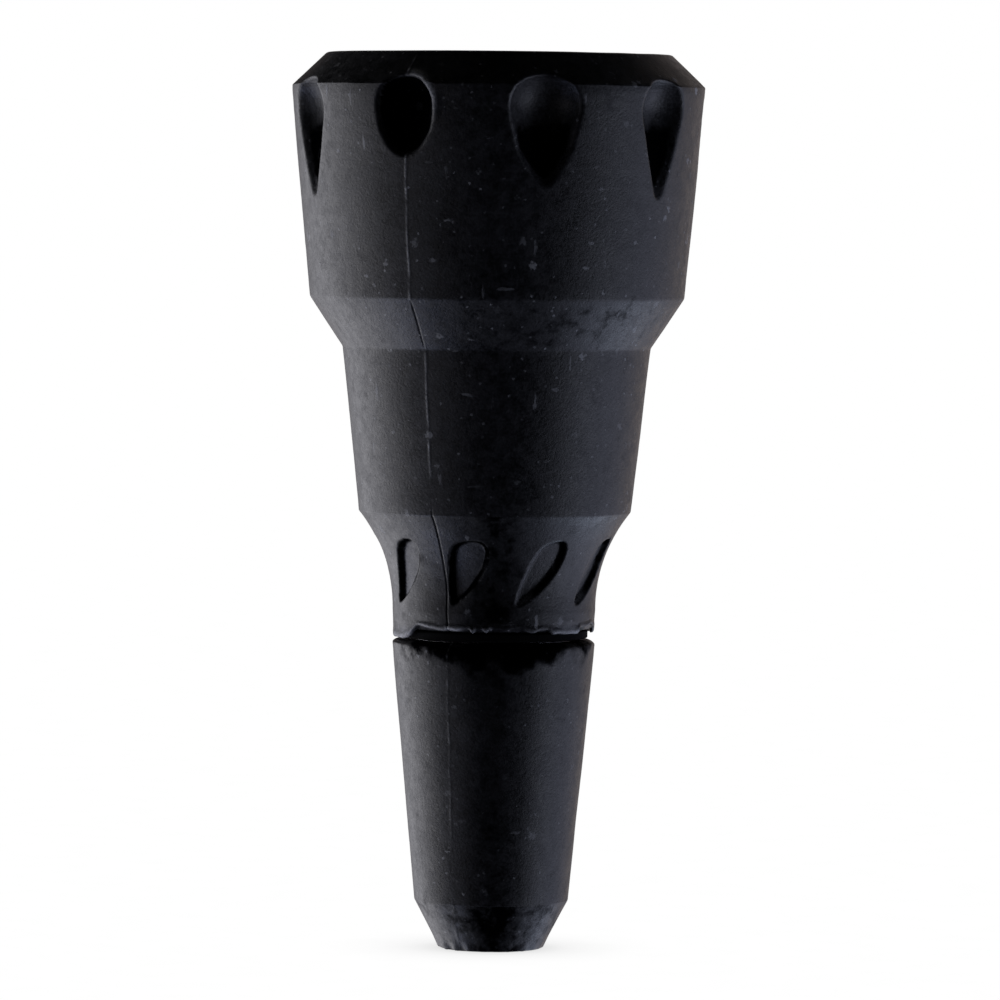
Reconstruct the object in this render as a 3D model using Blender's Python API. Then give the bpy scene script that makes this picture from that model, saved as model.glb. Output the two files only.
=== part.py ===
"""Saliva ejector tip: a dimpled rubber grip that swivels on a tapered rubber plug.

The plug is pushed into the suction valve, and the mouth at the other end takes a disposable
ejector tube. The origin is the centre of the plug's end face, and +Z runs up the axis to the
mouth. Angles round the axis are counted from the front, which faces -Y, towards +X.
"""

import math

import bmesh
import bpy
from mathutils import Vector

MM = 0.001

# Plug: the rubber cone that seals in the valve.
PLUG_LENGTH = 15.5 * MM
PLUG_TOP_RADIUS = 5.09 * MM
PLUG_TIP_RADIUS = 3.85 * MM
PLUG_TIP_HEIGHT = 2.4 * MM
PLUG_END_RADIUS = 2.6 * MM
PLUG_TOP_BEVEL = 0.25 * MM
PLUG_FOOT_WALL = 0.45 * MM
PLUG_END_BORE = 1.7 * MM

# Ring gap between the plug and the grip, where the tip swivels.
RING_GAP = 0.6 * MM
RING_GAP_DEPTH = 0.3 * MM

# Grip sleeve, from its hem up: neck, barrel, shoulder, collar and rim.
HEM_RADIUS = 5.0 * MM
NECK_RADIUS = 5.07 * MM
NECK_STRAIGHT = 0.9 * MM
NECK_LENGTH = 5.8 * MM
BARREL_LOW_RADIUS = 6.8 * MM
BARREL_TOP_RADIUS = 7.7 * MM
BARREL_LENGTH = 8.2 * MM
SHOULDER_HEIGHT = 2.5 * MM
COLLAR_LOW_RADIUS = 9.36 * MM
COLLAR_TOP_RADIUS = 10.35 * MM
COLLAR_HEIGHT = 10.5 * MM
RIM_HEIGHT = 1.65 * MM
MOUTH_FACE_RADIUS = 8.6 * MM

# Dimples round the collar: a ball that runs out to a point below.
DIMPLE_COUNT = 9
DIMPLE_TURN = math.radians(-27)
DIMPLE_BALL_RADIUS = 1.85 * MM
DIMPLE_DEPTH = 1.2 * MM
DIMPLE_DROP = 1.1 * MM
DIMPLE_LENGTH = 4.9 * MM
SEAM_DIMPLE_LENGTH = 3.65 * MM

# Leaf recesses round the neck: width and height lie along the surface, from the tip.
LEAF_COUNT = 9
LEAF_TURN = math.radians(-28)
LEAF_LIFT = 1.15 * MM
LEAF_HEIGHT = 3.3 * MM
LEAF_LEAN = 2.35 * MM
LEAF_LEFT_HEIGHT = 2.95 * MM
LEAF_LEFT_LEAN = 0.75 * MM
LEAF_BULGE = 0.8 * MM
LEAF_DEPTH = 0.35 * MM

# Swivel body: the rigid liner that the grip is moulded on.
BODY_NECK_WALL = 1.0 * MM
BODY_BARREL_RADIUS = 5.4 * MM
BODY_COLLAR_RADIUS = 7.0 * MM
BODY_STEP = 0.6 * MM
BODY_BARREL_LIFT = 0.3 * MM
BODY_COLLAR_LIFT = 1.3 * MM
BODY_ANCHOR = 0.5 * MM
MOUTH_WALL = 1.45 * MM

# Stem: the metal tube that carries the plug and turns in the swivel body.
AIRWAY_RADIUS = 2.1 * MM
STEM_RADIUS = 2.9 * MM
STEM_BARB = 0.35 * MM
STEM_BARB_HEIGHT = 1.3 * MM
STEM_BARB_DROP = 2.4 * MM
STEM_BARB_PITCH = 3.2 * MM
STEM_FLANGE_REACH = 1.0 * MM
STEM_FLANGE_HEIGHT = 1.0 * MM
STEM_TOP_LIP = 0.75 * MM

# Swivel bearing: O-ring, two washers and a snap ring.
O_RING_SECTION = 0.6 * MM
O_RING_LIFT = 1.7 * MM
BEARING_LEDGE_LIFT = 3.1 * MM
UPPER_WASHER_THICKNESS = 0.4 * MM
UPPER_WASHER_REACH = 0.95 * MM
SNAP_RING_THICKNESS = 0.6 * MM
SNAP_RING_REACH = 0.85 * MM
SNAP_RING_BITE = 0.35 * MM
SNAP_RING_OPENING = 2.2 * MM
BEARING_POCKET_CLEARANCE = 0.15 * MM

# Ejector socket: the tube in the swivel body that the disposable ejector slides into.
EJECTOR_RADIUS = 3.2 * MM
EJECTOR_PLAY = 0.15 * MM
SOCKET_WALL = 0.95 * MM
SOCKET_FLOOR = 1.0 * MM
SOCKET_FLOOR_BORE = 2.3 * MM

# Strainer: a perforated cup that lifts out through the mouth.
STRAINER_RADIUS = 2.85 * MM
STRAINER_HEIGHT = 1.4 * MM
STRAINER_WALL = 0.35 * MM
STRAINER_FLOOR = 0.4 * MM
STRAINER_HOLE_RADIUS = 0.33 * MM
STRAINER_HOLE_PITCH = 0.98 * MM
STRAINER_HOLE_RINGS = 2

# Ejector seal: a soft ring whose lips grip the ejector, under the mouth ring.
SEAL_RADIUS = 4.9 * MM
SEAL_HEIGHT = 3.4 * MM
SEAL_LIP_SQUEEZE = 0.2 * MM
SEAL_LIP_HEIGHT = 0.35 * MM
SEAL_WAIST_RADIUS = 3.7 * MM
MOUTH_RING_RADIUS = 5.9 * MM
MOUTH_RING_SUNK = 0.15 * MM
MOUTH_RING_SKIRT = 1.55 * MM
MOUTH_LEAD_IN = 1.1 * MM

# Fits.
SEAT_GAP = 0.1 * MM
RUNNING_CLEARANCE = 0.06 * MM
LIFT_CLEARANCE = 0.1 * MM

# Facets round the axis.
OUTER_FACETS = 72
PLUG_FACETS = 60
INNER_FACETS = 40
STRAINER_HOLE_FACETS = 8
O_RING_FACETS = 8
NECK_STEPS = 6
LEAF_STEPS = 5
CUTTER_REACH = 1.5 * MM

# Heights above the plug's end face.
HEM_Z = PLUG_LENGTH + RING_GAP
NECK_Z = HEM_Z + NECK_STRAIGHT
BARREL_Z = HEM_Z + NECK_LENGTH
SHOULDER_Z = BARREL_Z + BARREL_LENGTH
COLLAR_Z = SHOULDER_Z + SHOULDER_HEIGHT
RIM_Z = COLLAR_Z + COLLAR_HEIGHT
MOUTH_Z = RIM_Z + RIM_HEIGHT
BODY_TOP_Z = MOUTH_Z - MOUTH_WALL
FLANGE_Z = PLUG_LENGTH - STEM_FLANGE_HEIGHT
LOWER_WASHER_Z = PLUG_LENGTH + SEAT_GAP
LEDGE_Z = BARREL_Z + BEARING_LEDGE_LIFT
UPPER_WASHER_Z = LEDGE_Z + SEAT_GAP
SNAP_RING_Z = UPPER_WASHER_Z + UPPER_WASHER_THICKNESS + SEAT_GAP
STEM_TOP_Z = SNAP_RING_Z + SNAP_RING_THICKNESS + STEM_TOP_LIP
SOCKET_Z = STEM_TOP_Z + 2 * SEAT_GAP
STRAINER_Z = SOCKET_Z + SOCKET_FLOOR + SEAT_GAP
SEAL_TOP_Z = BODY_TOP_Z - MOUTH_RING_SKIRT - SEAT_GAP
SEAL_Z = SEAL_TOP_Z - SEAL_HEIGHT
SOCKET_TOP_Z = SEAL_Z - SEAT_GAP

STEM_FLANGE_RADIUS = STEM_RADIUS + STEM_FLANGE_REACH
UPPER_WASHER_RADIUS = STEM_RADIUS + UPPER_WASHER_REACH
SNAP_RING_RADIUS = STEM_RADIUS + SNAP_RING_REACH
BEARING_POCKET_RADIUS = UPPER_WASHER_RADIUS + BEARING_POCKET_CLEARANCE
BODY_NECK_RADIUS = STEM_RADIUS + RUNNING_CLEARANCE + BODY_NECK_WALL
SOCKET_BORE = EJECTOR_RADIUS + EJECTOR_PLAY
SOCKET_RADIUS = SOCKET_BORE + SOCKET_WALL
STRAINER_SEAT_RADIUS = STRAINER_RADIUS + LIFT_CLEARANCE
SEAL_LIP_RADIUS = EJECTOR_RADIUS - SEAL_LIP_SQUEEZE


def clear_scene():
    for item in list(bpy.data.objects):
        bpy.data.objects.remove(item)


def new_material(name, colour, roughness, metallic=0.0):
    finish = bpy.data.materials.new(name)
    finish.use_nodes = True
    shader = finish.node_tree.nodes["Principled BSDF"]
    shader.inputs["Base Color"].default_value = (*colour, 1.0)
    shader.inputs["Roughness"].default_value = roughness
    shader.inputs["Metallic"].default_value = metallic
    return finish


def grip_rubber():
    return new_material("grip_rubber", (0.022, 0.023, 0.026), 0.62)


def plug_rubber():
    return new_material("plug_rubber", (0.020, 0.021, 0.024), 0.58)


def liner_plastic():
    return new_material("liner_plastic", (0.045, 0.046, 0.050), 0.45)


def socket_plastic():
    return new_material("socket_plastic", (0.12, 0.12, 0.13), 0.42)


def seal_rubber():
    return new_material("seal_rubber", (0.10, 0.10, 0.11), 0.55)


def mouth_plastic():
    return new_material("mouth_plastic", (0.035, 0.036, 0.040), 0.40)


def bearing_plastic():
    return new_material("bearing_plastic", (0.055, 0.055, 0.060), 0.40)


def stem_metal():
    return new_material("stem_metal", (0.62, 0.62, 0.63), 0.28, 1.0)


def ring_metal():
    return new_material("ring_metal", (0.50, 0.50, 0.51), 0.32, 1.0)


def strainer_plastic():
    return new_material("strainer_plastic", (0.72, 0.74, 0.76), 0.38)


def link(name, mesh):
    item = bpy.data.objects.new(name, mesh)
    bpy.context.scene.collection.objects.link(item)
    return item


def new_frame(name, height, parent=None):
    """An empty on the axis, which carries the pieces that move together."""
    frame = link(name, None)
    frame.parent = parent
    frame.location.z = height - (parent.matrix_world.translation.z if parent else 0)
    bpy.context.view_layer.update()
    return frame


def turned(name, outline, base, frame, finish, facets=INNER_FACETS):
    """A ring turned about the axis. Its (radius, height) outline goes down the outside and up the bore."""
    mesh = bpy.data.meshes.new(name)
    points = [(radius, 0, height - base) for radius, height in outline]
    edges = [(i, (i + 1) % len(points)) for i in range(len(points))]
    mesh.from_pydata(points, edges, [])
    mesh.materials.append(finish)
    piece = link(name, mesh)
    turn = piece.modifiers.new("Turn", "SCREW")
    turn.steps = facets
    turn.render_steps = facets
    turn.use_smooth_shade = True
    turn.use_merge_vertices = False
    piece.parent = frame
    piece.location.z = base - frame.matrix_world.translation.z
    return piece


def cut(piece, cutter, name):
    """Cuts one solid from another, and hides the cutter."""
    boolean = piece.modifiers.new(name, "BOOLEAN")
    boolean.operation = "DIFFERENCE"
    boolean.solver = "EXACT"
    boolean.object = cutter
    cutter.hide_render = True
    cutter.display_type = "WIRE"


def around(turn, radius, height):
    """The point at an angle from the front, a distance from the axis and a height."""
    return Vector((radius * math.sin(turn), -radius * math.cos(turn), height))


def between(low, high, share):
    return low + (high - low) * share


def neck_radius(height):
    """The neck's outside: an arc that flares to the barrel above a nearly straight hem."""
    if height <= NECK_Z:
        return between(HEM_RADIUS, NECK_RADIUS, (height - HEM_Z) / NECK_STRAIGHT)
    flare = BARREL_LOW_RADIUS - NECK_RADIUS
    rise = BARREL_Z - NECK_Z
    arc = (rise**2 + flare**2) / (2 * flare)
    return NECK_RADIUS + arc - math.sqrt(arc**2 - (height - NECK_Z) ** 2)


def neck_outline(depth, top, low):
    """Points down the neck's outside, moved in by a depth."""
    heights = [between(top, NECK_Z, i / NECK_STEPS) for i in range(NECK_STEPS + 1)]
    return [(neck_radius(height) - depth, height) for height in [*heights, low]]


def body_outside(gap):
    """The swivel body's outside from its top to its foot, moved out by a gap."""
    barrel_top = COLLAR_Z + BODY_COLLAR_LIFT
    neck_top = BARREL_Z + BODY_BARREL_LIFT
    anchor = BODY_BARREL_RADIUS + BODY_ANCHOR
    return [
        (BODY_COLLAR_RADIUS + gap, BODY_TOP_Z + gap),
        (BODY_COLLAR_RADIUS + gap, barrel_top - gap),
        (BODY_BARREL_RADIUS + gap, barrel_top - BODY_STEP - gap),
        (BODY_BARREL_RADIUS + gap, SHOULDER_Z + BODY_ANCHOR + gap),
        (anchor + gap, SHOULDER_Z + gap),
        (anchor + gap, SHOULDER_Z - BODY_STEP - gap),
        (BODY_BARREL_RADIUS + gap, SHOULDER_Z - BODY_STEP - BODY_ANCHOR - gap),
        (BODY_BARREL_RADIUS + gap, neck_top - gap),
        (BODY_NECK_RADIUS + gap, neck_top - BODY_STEP - gap),
        (BODY_NECK_RADIUS + gap, HEM_Z),
    ]


def sleeve_outline():
    outside = [
        (MOUTH_FACE_RADIUS, MOUTH_Z),
        (COLLAR_TOP_RADIUS, RIM_Z),
        (COLLAR_LOW_RADIUS, COLLAR_Z),
        (BARREL_TOP_RADIUS, SHOULDER_Z),
    ]
    mouth = MOUTH_RING_RADIUS + SEAT_GAP
    bore = [*reversed(body_outside(SEAT_GAP)), (mouth, BODY_TOP_Z + SEAT_GAP), (mouth, MOUTH_Z)]
    return outside + neck_outline(0, BARREL_Z, HEM_Z) + bore


def collar_radius(height):
    return between(COLLAR_LOW_RADIUS, COLLAR_TOP_RADIUS, (height - COLLAR_Z) / COLLAR_HEIGHT)


def dimple(turn, length):
    """A ball sunk in the collar below the rim, drawn out to a point on the surface below it."""
    ball_z = RIM_Z - DIMPLE_DROP
    ball_radius = collar_radius(ball_z) - DIMPLE_DEPTH + DIMPLE_BALL_RADIUS
    point_z = RIM_Z - length
    shape = bmesh.new()
    bmesh.ops.create_uvsphere(shape, u_segments=14, v_segments=10, radius=DIMPLE_BALL_RADIUS)
    bmesh.ops.delete(shape, geom=shape.edges, context="EDGES_FACES")
    bmesh.ops.translate(shape, verts=shape.verts, vec=around(turn, ball_radius, ball_z))
    shape.verts.new(around(turn, collar_radius(point_z), point_z))
    hull = bmesh.ops.convex_hull(shape, input=shape.verts)
    inner = [item for item in hull["geom_interior"] if isinstance(item, bmesh.types.BMVert)]
    bmesh.ops.delete(shape, geom=inner, context="VERTS")
    return shape


def leaf_outline():
    """A leaning leaf along the surface: a straight left side, a short top and a bulging right side."""
    tip = Vector((0, 0))
    left = Vector((LEAF_LEFT_LEAN, LEAF_LEFT_HEIGHT))
    right = Vector((LEAF_LEAN, LEAF_HEIGHT))
    back = tip - right
    out = Vector((-back.y, back.x)).normalized()
    shares = [i / LEAF_STEPS for i in range(LEAF_STEPS)]
    side = [right + back * s + out * (4 * LEAF_BULGE * s * (1 - s)) for s in shares]
    return [tip, *reversed(side), left]


def leaf(turn):
    """A prism with the leaf's outline that runs through the neck's wall."""
    tip_z = HEM_Z + LEAF_LIFT
    shape = bmesh.new()
    rings = []
    for reach in (-CUTTER_REACH, CUTTER_REACH):
        ring = []
        for point in leaf_outline():
            height = tip_z + point.y
            angle = turn + point.x / neck_radius(tip_z)
            ring.append(shape.verts.new(around(angle, neck_radius(height) + reach, height)))
        rings.append(ring)
    inner, outer = rings
    for i in range(len(inner)):
        j = (i + 1) % len(inner)
        shape.faces.new((inner[i], inner[j], outer[j], outer[i]))
    caps = [shape.faces.new(reversed(inner)), shape.faces.new(outer)]
    bmesh.ops.triangulate(shape, faces=caps)
    bmesh.ops.recalc_face_normals(shape, faces=shape.faces)
    return shape


def joined(name, shapes):
    """One hidden cutter made of separate shapes."""
    mesh = bpy.data.meshes.new(name)
    whole = bmesh.new()
    for shape in shapes:
        shape.to_mesh(mesh)
        shape.free()
        whole.from_mesh(mesh)
    whole.to_mesh(mesh)
    whole.free()
    return link(name, mesh)


def make_grip_sleeve(frame):
    sleeve = turned("grip_sleeve", sleeve_outline(), HEM_Z, frame, grip_rubber(), OUTER_FACETS)
    lengths = [SEAM_DIMPLE_LENGTH] + [DIMPLE_LENGTH] * (DIMPLE_COUNT - 1)
    pitch = 2 * math.pi / DIMPLE_COUNT
    dimples = [dimple(DIMPLE_TURN + i * pitch, length) for i, length in enumerate(lengths)]
    cut(sleeve, joined("dimple_cutter", dimples), "Dimples")
    pitch = 2 * math.pi / LEAF_COUNT
    leaves = joined("leaf_cutter", [leaf(LEAF_TURN + i * pitch) for i in range(LEAF_COUNT)])
    cut(leaves, make_leaf_floor(frame), "Floor")
    cut(sleeve, leaves, "Leaves")


def make_leaf_floor(frame):
    """The neck's core, which the leaf recesses stop at."""
    outside = neck_outline(LEAF_DEPTH, BARREL_Z, HEM_Z)
    bore = BODY_NECK_RADIUS - CUTTER_REACH
    outline = [*outside, (bore, HEM_Z), (bore, BARREL_Z)]
    return turned("leaf_floor", outline, HEM_Z, frame, grip_rubber(), OUTER_FACETS)


def o_ring_levels():
    middle = BARREL_Z + O_RING_LIFT
    return middle - O_RING_SECTION - SEAT_GAP, middle + O_RING_SECTION + SEAT_GAP


def make_swivel_body(frame):
    socket = SOCKET_RADIUS + SEAT_GAP
    seal = SEAL_RADIUS + SEAT_GAP
    journal = STEM_RADIUS + RUNNING_CLEARANCE
    groove = journal + 2 * O_RING_SECTION
    groove_low, groove_top = o_ring_levels()
    bore = [
        (journal, HEM_Z),
        (journal, groove_low),
        (groove, groove_low),
        (groove, groove_top),
        (journal, groove_top),
        (journal, LEDGE_Z),
        (BEARING_POCKET_RADIUS, LEDGE_Z),
        (BEARING_POCKET_RADIUS, SOCKET_Z - SEAT_GAP),
        (socket, SOCKET_Z - SEAT_GAP),
        (socket, SEAL_Z - SEAT_GAP),
        (seal, SEAL_Z - SEAT_GAP),
        (seal, BODY_TOP_Z),
    ]
    turned("swivel_body", body_outside(0) + bore, HEM_Z, frame, liner_plastic())


def make_swivel_o_ring(frame):
    """A round section that fills its groove up to the stem."""
    middle = BARREL_Z + O_RING_LIFT
    centre = STEM_RADIUS + RUNNING_CLEARANCE + O_RING_SECTION
    turns = [2 * math.pi * i / O_RING_FACETS for i in range(O_RING_FACETS)]
    reach = O_RING_SECTION - RUNNING_CLEARANCE / 2
    outline = [(centre + reach * math.cos(a), middle - reach * math.sin(a)) for a in turns]
    turned("swivel_o_ring", outline, middle, frame, seal_rubber())


def washer_outline(outer, inner, low, thickness):
    high = low + thickness
    return [(outer, high), (outer, low), (inner, low), (inner, high)]


def make_washers(plug_frame, swivel_frame):
    inner = STEM_RADIUS + RUNNING_CLEARANCE
    outer = HEM_RADIUS - RING_GAP_DEPTH
    thickness = RING_GAP - 2 * SEAT_GAP
    outline = washer_outline(outer, inner, LOWER_WASHER_Z, thickness)
    finish = bearing_plastic()
    turned("lower_washer", outline, LOWER_WASHER_Z, plug_frame, finish)
    outline = washer_outline(UPPER_WASHER_RADIUS, inner, UPPER_WASHER_Z, UPPER_WASHER_THICKNESS)
    turned("upper_washer", outline, UPPER_WASHER_Z, swivel_frame, finish)


def make_snap_ring(frame):
    """An open ring that springs into the stem's groove."""
    inner = STEM_RADIUS - SNAP_RING_BITE + SEAT_GAP
    outline = washer_outline(SNAP_RING_RADIUS, inner, SNAP_RING_Z, SNAP_RING_THICKNESS)
    ring = turned("snap_ring", outline, SNAP_RING_Z, frame, ring_metal())
    shape = bmesh.new()
    bmesh.ops.create_cube(shape, size=1)
    size = (SNAP_RING_OPENING, 2 * SNAP_RING_RADIUS, 4 * SNAP_RING_THICKNESS)
    bmesh.ops.scale(shape, vec=size, verts=shape.verts)
    middle = (0, -SNAP_RING_RADIUS, SNAP_RING_Z)
    bmesh.ops.translate(shape, vec=middle, verts=shape.verts)
    cut(ring, joined("snap_ring_opening", [shape]), "Opening")


def plug_height_at(radius):
    """The height at which the plug's outside has this radius, on its end chamfer or on its taper."""
    if radius < PLUG_TIP_RADIUS:
        share = (radius - PLUG_END_RADIUS) / (PLUG_TIP_RADIUS - PLUG_END_RADIUS)
        return PLUG_TIP_HEIGHT * share
    share = (radius - PLUG_TIP_RADIUS) / (PLUG_TOP_RADIUS - PLUG_TIP_RADIUS)
    return between(PLUG_TIP_HEIGHT, PLUG_LENGTH, share)


def stem_foot():
    """The stem starts where the plug is thick enough to wrap round it."""
    return plug_height_at(STEM_RADIUS + SEAT_GAP + PLUG_FOOT_WALL)


def barb_outline(gap):
    """The stem's outside below its flange, with two barbs that hold the plug, moved out by a gap."""
    outline = []
    for i in range(2):
        high = FLANGE_Z - STEM_BARB_DROP - i * STEM_BARB_PITCH
        outline += [
            (STEM_RADIUS + gap, high + gap),
            (STEM_RADIUS + STEM_BARB + gap, high + gap),
            (STEM_RADIUS + gap, high - STEM_BARB_HEIGHT),
        ]
    return outline + [(STEM_RADIUS + gap, stem_foot() + SEAT_GAP - gap)]


def make_plug_stem(frame):
    groove = STEM_RADIUS - SNAP_RING_BITE
    groove_low = SNAP_RING_Z - SEAT_GAP
    groove_top = SNAP_RING_Z + SNAP_RING_THICKNESS + SEAT_GAP
    flange_low = FLANGE_Z + SEAT_GAP
    outside = [
        (STEM_RADIUS, STEM_TOP_Z),
        (STEM_RADIUS, groove_top),
        (groove, groove_top),
        (groove, groove_low),
        (STEM_RADIUS, groove_low),
        (STEM_RADIUS, PLUG_LENGTH),
        (STEM_FLANGE_RADIUS, PLUG_LENGTH),
        (STEM_FLANGE_RADIUS, flange_low),
        (STEM_RADIUS, flange_low),
    ]
    bore = [(AIRWAY_RADIUS, stem_foot() + SEAT_GAP), (AIRWAY_RADIUS, STEM_TOP_Z)]
    turned("plug_stem", outside + barb_outline(0) + bore, 0, frame, stem_metal())


def make_plug_cone(frame):
    flange = STEM_FLANGE_RADIUS + SEAT_GAP
    outside = [
        (PLUG_TOP_RADIUS - PLUG_TOP_BEVEL, PLUG_LENGTH),
        (PLUG_TOP_RADIUS, PLUG_LENGTH - PLUG_TOP_BEVEL),
        (PLUG_TIP_RADIUS, PLUG_TIP_HEIGHT),
        (PLUG_END_RADIUS, 0),
    ]
    bore = [
        (PLUG_END_BORE, 0),
        (PLUG_END_BORE, stem_foot()),
        *reversed(barb_outline(SEAT_GAP)),
        (STEM_RADIUS + SEAT_GAP, FLANGE_Z),
        (flange, FLANGE_Z),
        (flange, PLUG_LENGTH),
    ]
    turned("plug_cone", outside + bore, 0, frame, plug_rubber(), PLUG_FACETS)


def make_ejector_socket(frame):
    floor_top = SOCKET_Z + SOCKET_FLOOR
    seat_top = STRAINER_Z + STRAINER_HEIGHT + SEAT_GAP
    outline = [
        (SOCKET_RADIUS, SOCKET_TOP_Z),
        (SOCKET_RADIUS, SOCKET_Z),
        (SOCKET_FLOOR_BORE, SOCKET_Z),
        (SOCKET_FLOOR_BORE, floor_top),
        (STRAINER_SEAT_RADIUS, floor_top),
        (STRAINER_SEAT_RADIUS, seat_top),
        (SOCKET_BORE, seat_top),
        (SOCKET_BORE, SOCKET_TOP_Z),
    ]
    turned("ejector_socket", outline, SOCKET_Z, frame, socket_plastic())


def strainer_holes():
    """Round cutters on a hexagonal grid."""
    rings = STRAINER_HOLE_RINGS
    shapes = []
    for row in range(-rings, rings + 1):
        for column in range(max(-rings, -rings - row), min(rings, rings - row) + 1):
            shape = bmesh.new()
            bmesh.ops.create_cone(
                shape,
                cap_ends=True,
                segments=STRAINER_HOLE_FACETS,
                radius1=STRAINER_HOLE_RADIUS,
                radius2=STRAINER_HOLE_RADIUS,
                depth=4 * STRAINER_FLOOR,
            )
            x = (column + row / 2) * STRAINER_HOLE_PITCH
            y = row * math.sqrt(3) / 2 * STRAINER_HOLE_PITCH
            bmesh.ops.translate(shape, vec=(x, y, STRAINER_Z), verts=shape.verts)
            shapes.append(shape)
    return shapes


def make_strainer_cup(frame):
    """A shallow cup: a disc with a rim, whose floor is pierced."""
    shape = bmesh.new()
    bmesh.ops.create_cone(
        shape,
        cap_ends=True,
        segments=INNER_FACETS,
        radius1=STRAINER_RADIUS,
        radius2=STRAINER_RADIUS,
        depth=STRAINER_HEIGHT,
    )
    top = [face for face in shape.faces if face.normal.z > 0.9]
    bmesh.ops.inset_region(shape, faces=top, thickness=STRAINER_WALL)
    sunk = STRAINER_FLOOR - STRAINER_HEIGHT
    bottom = bmesh.ops.extrude_face_region(shape, geom=top)["geom"]
    verts = [item for item in bottom if isinstance(item, bmesh.types.BMVert)]
    bmesh.ops.translate(shape, vec=(0, 0, sunk), verts=verts)
    bmesh.ops.delete(shape, geom=top, context="FACES_ONLY")
    bmesh.ops.translate(shape, vec=(0, 0, STRAINER_HEIGHT / 2), verts=shape.verts)
    bmesh.ops.recalc_face_normals(shape, faces=shape.faces)
    mesh = bpy.data.meshes.new("strainer_cup")
    shape.to_mesh(mesh)
    shape.free()
    mesh.shade_smooth()
    mesh.set_sharp_from_angle(angle=math.radians(30))
    mesh.materials.append(strainer_plastic())
    cup = link("strainer_cup", mesh)
    cup.parent = frame
    cut(cup, joined("strainer_hole_cutter", strainer_holes()), "Holes")


def make_ejector_seal(frame):
    """A soft ring with a lip near each end of its bore."""
    lip = SEAL_LIP_RADIUS
    waist = SEAL_WAIST_RADIUS
    slope = waist - lip
    low_lip = SEAL_Z + SEAL_LIP_HEIGHT + slope / 2
    top_lip = SEAL_TOP_Z - SEAL_LIP_HEIGHT - slope / 2
    outline = [
        (SEAL_RADIUS, SEAL_TOP_Z),
        (SEAL_RADIUS, SEAL_Z),
        (lip + slope / 2, SEAL_Z),
        (lip, low_lip - SEAL_LIP_HEIGHT / 2),
        (lip, low_lip + SEAL_LIP_HEIGHT / 2),
        (waist, low_lip + SEAL_LIP_HEIGHT),
        (waist, top_lip - SEAL_LIP_HEIGHT),
        (lip, top_lip - SEAL_LIP_HEIGHT / 2),
        (lip, top_lip + SEAL_LIP_HEIGHT / 2),
        (lip + slope / 2, SEAL_TOP_Z),
    ]
    turned("ejector_seal", outline, SEAL_Z, frame, seal_rubber())


def make_mouth_ring(frame):
    """The rigid ring flush in the mouth, which holds the seal down and leads the ejector in."""
    top = MOUTH_Z - MOUTH_RING_SUNK
    flange_low = BODY_TOP_Z + SEAT_GAP
    low = SEAL_TOP_Z + SEAT_GAP
    outline = [
        (MOUTH_RING_RADIUS, top),
        (MOUTH_RING_RADIUS, flange_low),
        (SEAL_RADIUS, flange_low),
        (SEAL_RADIUS, low),
        (SOCKET_BORE, low),
        (SOCKET_BORE, top - MOUTH_LEAD_IN),
        (SOCKET_BORE + MOUTH_LEAD_IN, top),
    ]
    turned("mouth_ring", outline, low, frame, mouth_plastic())


def build():
    clear_scene()
    plug_frame = new_frame("plug_frame", 0)
    swivel_frame = new_frame("swivel_axis", HEM_Z, plug_frame)
    strainer_frame = new_frame("strainer_axis", STRAINER_Z, swivel_frame)
    make_plug_cone(plug_frame)
    make_plug_stem(plug_frame)
    make_snap_ring(plug_frame)
    make_washers(plug_frame, swivel_frame)
    make_grip_sleeve(swivel_frame)
    make_swivel_body(swivel_frame)
    make_swivel_o_ring(swivel_frame)
    make_ejector_socket(swivel_frame)
    make_ejector_seal(swivel_frame)
    make_mouth_ring(swivel_frame)
    make_strainer_cup(strainer_frame)


build()
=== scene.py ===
"""The looks of the saliva ejector tip: matt black rubber on a pale floor.

Every visible piece is turned about the Z axis from a rounded outline, and its surface is then
carved: dimples, leaf recesses, mould seams and a torn hem. Angles round the axis are counted
from the front, which faces -Y, towards +X.
"""

import math

import bpy
import numpy as np
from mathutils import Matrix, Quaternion, Vector


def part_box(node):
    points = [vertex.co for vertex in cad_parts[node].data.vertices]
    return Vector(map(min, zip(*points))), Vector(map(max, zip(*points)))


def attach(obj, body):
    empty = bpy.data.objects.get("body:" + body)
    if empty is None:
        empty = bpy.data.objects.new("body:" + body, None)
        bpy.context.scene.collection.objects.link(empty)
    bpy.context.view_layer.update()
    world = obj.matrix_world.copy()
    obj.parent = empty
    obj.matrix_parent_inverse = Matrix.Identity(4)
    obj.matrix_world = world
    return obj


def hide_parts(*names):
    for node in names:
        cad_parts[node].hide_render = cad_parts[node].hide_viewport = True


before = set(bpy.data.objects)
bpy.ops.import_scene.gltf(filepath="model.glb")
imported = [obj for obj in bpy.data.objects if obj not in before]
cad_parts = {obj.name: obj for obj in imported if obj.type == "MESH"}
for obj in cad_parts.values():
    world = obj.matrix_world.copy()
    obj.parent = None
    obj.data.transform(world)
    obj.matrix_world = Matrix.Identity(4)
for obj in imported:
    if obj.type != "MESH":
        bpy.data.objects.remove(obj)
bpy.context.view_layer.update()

MM = 0.001

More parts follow.
